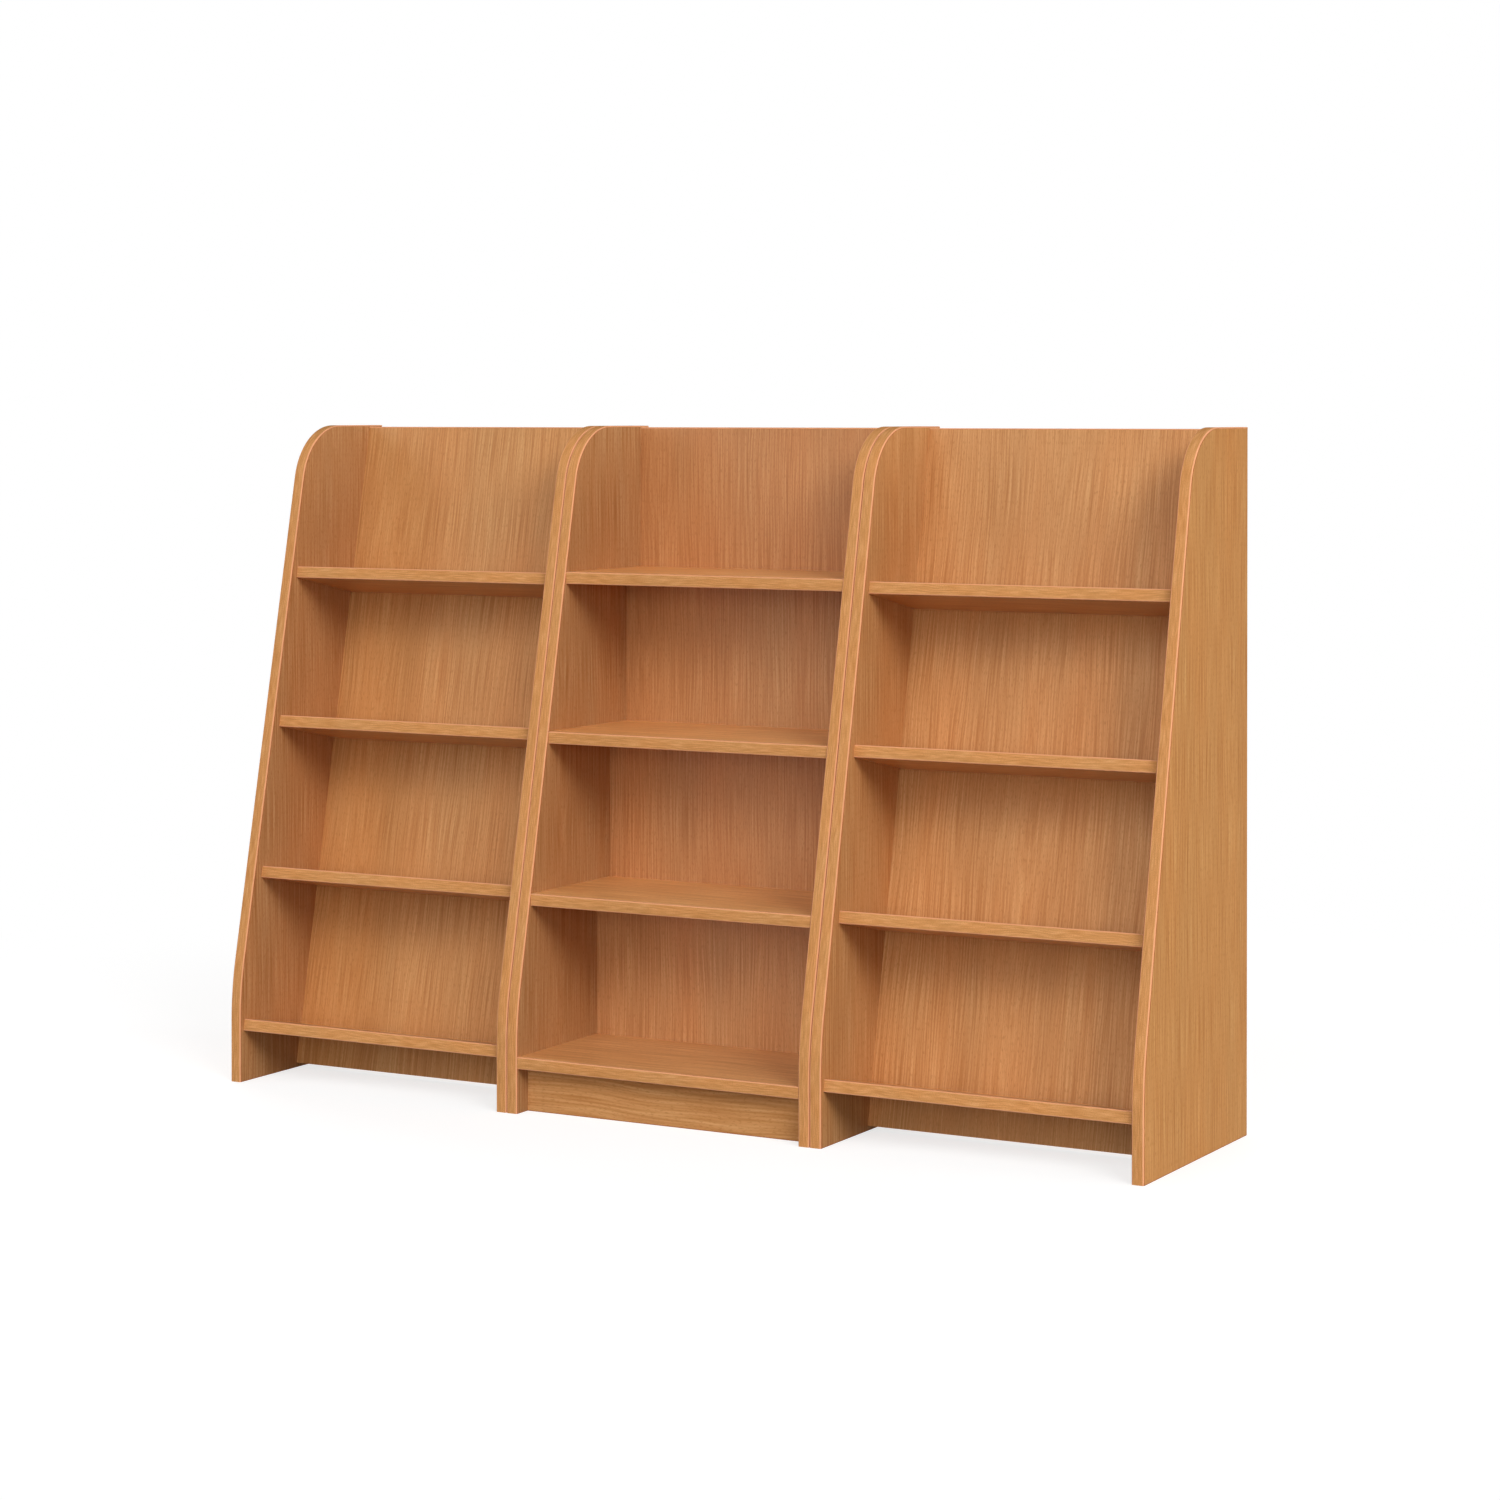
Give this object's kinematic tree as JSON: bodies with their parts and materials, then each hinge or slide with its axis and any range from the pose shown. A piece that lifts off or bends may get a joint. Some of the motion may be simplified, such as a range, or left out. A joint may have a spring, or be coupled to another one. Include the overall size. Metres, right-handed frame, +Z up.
{
  "type": "bookcase",
  "caption": "Row of tapered beech-finish library units with rounded tops: a straight bookcase with a plinth between display units whose shelves tilt back against a sloping back.",
  "frame": {"origin": "on the floor under the middle of the row, at the centre of its width and depth", "axes": "+X along the row to the right seen from the front, -Y towards the person in front of it, +Z up"},
  "size_m": [1.5, 0.377, 1],
  "materials": {
    "beech_board": "melamine-faced chipboard in a satin beech grain",
    "beech_edging": "satin plastic edging printed to match the beech",
    "dowel_beech": "plain turned beech",
    "zinc_steel": "bright zinc plating"
  },
  "bodies": {
    "root": {"bookcase_back_1": "beech_board", "bookcase_back_2": "beech_board", "bookcase_back_3": "beech_board", "bookcase_back_4": "beech_board", "bookcase_back_edging": "beech_edging", "bookcase_dowels": "dowel_beech", "bookcase_left_edging": "beech_edging", "bookcase_left_rear_edging": "beech_edging", "bookcase_left_side": "beech_board", "bookcase_plinth": "beech_board", "bookcase_right_edging": "beech_edging", "bookcase_right_rear_edging": "beech_edging", "bookcase_right_side": "beech_board", "bookcase_shelf_1": "beech_board", "bookcase_shelf_2": "beech_board", "bookcase_shelf_3": "beech_board", "bookcase_shelf_4": "beech_board", "bookcase_shelf_edging_1": "beech_edging", "bookcase_shelf_edging_2": "beech_edging", "bookcase_shelf_edging_3": "beech_edging", "bookcase_shelf_edging_4": "beech_edging", "joining_bolts": "zinc_steel", "joining_sleeves": "zinc_steel", "left_display_back": "beech_board", "left_display_back_edging": "beech_edging", "left_display_back_screws": "zinc_steel", "left_display_dowels": "dowel_beech", "left_display_left_edging": "beech_edging", "left_display_left_rear_edging": "beech_edging", "left_display_left_side": "beech_board", "left_display_right_edging": "beech_edging", "left_display_right_rear_edging": "beech_edging", "left_display_right_side": "beech_board", "left_display_shelf_1": "beech_board", "left_display_shelf_2": "beech_board", "left_display_shelf_3": "beech_board", "left_display_shelf_4": "beech_board", "left_display_shelf_edging_1": "beech_edging", "left_display_shelf_edging_2": "beech_edging", "left_display_shelf_edging_3": "beech_edging", "left_display_shelf_edging_4": "beech_edging", "right_display_back": "beech_board", "right_display_back_edging": "beech_edging", "right_display_back_screws": "zinc_steel", "right_display_dowels": "dowel_beech", "right_display_left_edging": "beech_edging", "right_display_left_rear_edging": "beech_edging", "right_display_left_side": "beech_board", "right_display_right_edging": "beech_edging", "right_display_right_rear_edging": "beech_edging", "right_display_right_side": "beech_board", "right_display_shelf_1": "beech_board", "right_display_shelf_2": "beech_board", "right_display_shelf_3": "beech_board", "right_display_shelf_4": "beech_board", "right_display_shelf_edging_1": "beech_edging", "right_display_shelf_edging_2": "beech_edging", "right_display_shelf_edging_3": "beech_edging", "right_display_shelf_edging_4": "beech_edging"}
  },
  "joints": []
}
